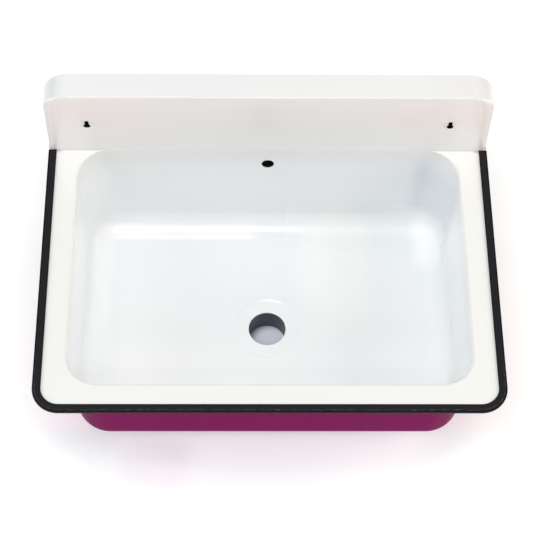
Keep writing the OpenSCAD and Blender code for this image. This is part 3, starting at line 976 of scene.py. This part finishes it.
def extruded_black():
    made, tree, shader = new_material("black_trim")
    uv = new_node(tree, "ShaderNodeUVMap", uv_map="trim_map").outputs[0]
    across = maths(tree, "DIVIDE", parts_of(tree, uv)["Y"], TRIM_MAP_SPAN)
    plain, highlit = (tone_ramp(tree, across, [(step[0], step[k]) for step in TRIM_PAINTED_TONES]) for k in (1, 2))
    highlight_breaks = ramp_of(tree, stretched(tree, uv, HIGHLIGHT_BREAK_SCALE), *HIGHLIGHT_BREAK_SPAN)
    # painted highlight dashes, at the front only
    highlight_dashes = maths(tree, "MULTIPLY", highlight_breaks, zone(Y=(-0.40, -0.48))(tree))
    lines = stretched(tree, uv, LINES_SCALE, 3.0)
    feed(tree, shader, {
        "Base Color": blend(tree, highlight_dashes, plain, highlit), "Roughness": spread(tree, lines, 0.36, 0.5),
        "Specular IOR Level": 0.1, "Normal": relief(tree, lines, 0.12, 0.0004),
    })
    return made


black_trim = extruded_black()
print("nodes in the trim's finish:", len(black_trim.node_tree.nodes))

# %% [markdown]
# ## Sweeping the strip
# The tree's inputs are set by their identifiers, and the result is kept as a plain mesh, as the export
# can't read a live tree. Its box shows whether the strip landed on the solid.

# %% Sweep the trim and keep the plain mesh
def swept(drawing_object, tree, values, name):
    """Runs a tree on an object and keeps the result as a plain mesh object."""
    step = drawing_object.modifiers.new("sweep", "NODES")
    step.node_group = tree
    sockets = [item for item in tree.interface.items_tree if item.item_type == "SOCKET"]
    keys = {socket.name: socket.identifier for socket in sockets if socket.in_out == "INPUT"}
    for label, value in values.items():
        step[keys[label]] = value
    drawing_object.update_tag()
    bpy.context.view_layer.update()
    mesh = plain_mesh(drawing_object)
    mesh.name = name
    drawing_object.modifiers.clear()
    bpy.data.objects.remove(drawing_object)
    return in_scene(name, mesh)


inputs = {"Corner radius": RIM_CORNER_R / 1000, "Corner steps": 24, "Material": black_trim}
trim_strip = swept(trim_drawing, trim_tree, inputs, "trim_strip")
crease(turned_outwards(trim_strip))
places = np.array([v.co for v in trim_strip.data.vertices])
print("trim box:", places.min(axis=0).round(4), places.max(axis=0).round(4))

# %% [markdown]
# ## Finishes on the pieces, and what each piece stands for
# Each fine mesh takes the place of its CAD node, which is hidden but stays in the frame, and rides on
# the sink's one body.

# %% Dress the pieces
for thing, material, node, slot in (
    (bowl_sheet, white_enamel, "bowl", "white_enamel"),
    (upstand_sheet, upstand_enamel_painted_shading, "backsplash", "white_enamel"),
    (coloured_coat, magenta_enamel, "outer_coat", "magenta_enamel"),
    (neck_tube, ground_enamel, "outlet_neck", "ground_enamel"),
    (trim_strip, black_trim, "edge_trim", "trim"),
):
    thing.data.materials.clear()
    thing.data.materials.append(material)
    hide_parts(node)
    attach(thing, "root")
    print(thing.name, "stands for", node)

# %% [markdown]
# ## Dark behind the holes
# On a wall, no light reaches behind the sink, so the keyholes and the overflow look black. Here it
# stands free, and light would come in from the back. So a thin black blind, a piece of the stage, lies
# in each hole, inside the thickness of the sheet.

# %% Blinds in the three holes
OVERLAP = 0.4


def blind(name, line, depth, centre, axes):
    """Flat black plate with a hole's outline, at a depth below the sheet's face, standing in for the
    shade behind it.
    """
    made = object_of(name, on_face(line, -depth, centre, axes), [tuple(range(len(line)))])
    made.data.materials.append(painted_shade_black)


# black that stands in for the shade behind the holes
painted_shade_black, shade_blind_tree, shade_blind_shader = new_material("painted_shade_black")
feed(shade_blind_tree, shade_blind_shader, {
    "Base Color": (0.004, 0.004, 0.004, 1), "Roughness": 0.9, "Specular IOR Level": 0.0})
blind("overflow_blind", round_hole(OVERFLOW_R)(OVERLAP), 1.3, overflow_centre, lean)
for keyhole in keyholes:
    blind("keyhole_blind", keyhole_outline(OVERLAP), 1.0, keyhole, upright)
print("blinds:", [o.name for o in bpy.data.objects if "blind" in o.name])

# %% [markdown]
# ## The floor
# The floor lies just under the end of the neck. It glows a little, so it stays white all round; the glow
# is painted light. Painted shadow and painted light under and round the sink are laid on in rings: round
# ones below the neck, and round-cornered rectangles under the pan and its rim.

# %% Build the floor
FLOOR_Z = float(from_rim([0, 0, OUTLET_Z - SHEET - FLANGE - NECK_LENGTH - 2])[2])
FLOOR_CORNERS = ((-6, -6), (6, -6), (6, 8), (-6, 8))
PAINTED_FLOOR_GLOW = 0.205
PAN_X, PAN_SPAN, PAN_SHARE = 0.02, (0.155, 0.235), 0.72
OPEN_X, OPEN_SPAN, OPEN_SHARE = -0.015, (0.25, 0.30), 0.78
SPOT_X, SPOT_Y, SPOT_SPAN, NECK_SPAN = 0.007, -0.006, (0.024, 0.044), (0.034, 0.060)


def rings_round(x, y, span, wide=1.0, power=2.0):
    """Mask from the distance to an upright axis. A high power turns its rings into rectangles."""
    def mask(tree):
        parts, total = parts_of(tree, coordinates(tree)), 0.0
        for axis, middle, share in (("X", x, wide), ("Y", y, 1.0)):
            side = maths(tree, "MULTIPLY", maths(tree, "SUBTRACT", parts[axis], middle), share)
            total = maths(tree, "ADD", total, maths(tree, "POWER", maths(tree, "ABSOLUTE", side), power))
        return ramp_of(tree, maths(tree, "POWER", total, 1 / power), *span)
    return mask


def pale_floor():
    made = object_of("floor", [(x, y, FLOOR_Z) for x, y in FLOOR_CORNERS], [(0, 1, 2, 3)])
    paint, tree, shader = new_material("pale_floor")
    y = (OUTLET_Y - SHELF) / 1000
    # the dim painted light of the spot seen through the outlet
    colour, light = (0.60, 0.62, 0.71), (0.77, 0.77, 0.90)
    for mask, over, glow in (
        # painted shadow round the dim spot seen through the outlet, then painted light on the floor
        # under the pan
        (rings_round(SPOT_X, y + SPOT_Y, SPOT_SPAN), (0.12, 0.12, 0.14), (0.06, 0.06, 0.07)),
        (rings_round(0.0, y, NECK_SPAN), (0.84, 0.82, 0.86), (2.04, 1.97, 2.09)),
        # painted shadow round the pan, painted light beside and behind it, painted shadow before its
        # left half, and the evenly bright open floor
        (rings_round(PAN_X, y, PAN_SPAN, PAN_SHARE, 4.0), (0.83, 0.865, 0.88), (0.75, 0.72, 0.74)),
        (zone(X=(0.22, 0.28), Y=(-0.435, -0.40)), (0.86, 0.79, 0.83), (1.35, 1.25, 1.3)),
        (zone(x=(-0.26, -0.21, -0.15, -0.10), Y=(-0.425, -0.475)),
         (0.79, 0.80, 0.83), (0.72, 0.67, 0.72)),
        (rings_round(OPEN_X, y, OPEN_SPAN, OPEN_SHARE, 4.0), (0.93, 0.93, 0.93), (1.0, 1.0, 1.0)),
    ):
        share = mask(tree)
        colour, light = blend(tree, share, colour, over), blend(tree, share, light, glow)
    feed(tree, shader, {
        "Base Color": colour, "Emission Color": light, "Emission Strength": PAINTED_FLOOR_GLOW,
        "Roughness": 0.9, "Specular IOR Level": 0.1,
    })
    made.data.materials.append(paint)


pale_floor()
print("the floor lies at", FLOOR_Z)

# %% [markdown]
# ## Light
# The light is a studio's: one large soft lamp above and in front, one at each side for the walls of the
# bowl, and an even pale sky. Only the first lamp shows in the glaze, as one clean highlight.

# %% Lamps and sky
LIT_POINT = (0, -0.25, -0.2)


def soft_lamp(name, place, size, watts, colour, shiny):
    """A rectangular lamp that looks at the sink."""
    lamp = bpy.data.lights.new(name, "AREA")
    lamp.shape, lamp.size, lamp.size_y = "RECTANGLE", *size
    lamp.energy, lamp.color = watts, colour
    holder = in_scene(name, lamp)
    turned = (Vector(LIT_POINT) - Vector(place)).to_track_quat("-Z", "Y")
    holder.matrix_world = Matrix.Translation(place) @ turned.to_matrix().to_4x4()
    holder.visible_glossy = shiny


soft_lamp("key", (-0.3, -1.6, 3.2), (2.4, 2.0), 83, (1.0, 0.972, 0.95), True)
soft_lamp("left_side", (-2.2, -0.5, 0.9), (1.6, 1.6), 27, (1.0, 1.0, 1.0), False)
soft_lamp("right_side", (2.2, -0.5, 0.9), (1.6, 1.6), 39, (1.0, 0.92, 0.847), False)
sky = bpy.data.worlds.new("studio")
sky.use_nodes = True
backdrop = sky.node_tree.nodes["Background"]
feed(sky.node_tree, backdrop, {"Color": (0.786, 0.939, 1.0, 1), "Strength": 0.229})
bpy.context.scene.world = sky
bpy.context.scene.view_settings.view_transform = "Standard"
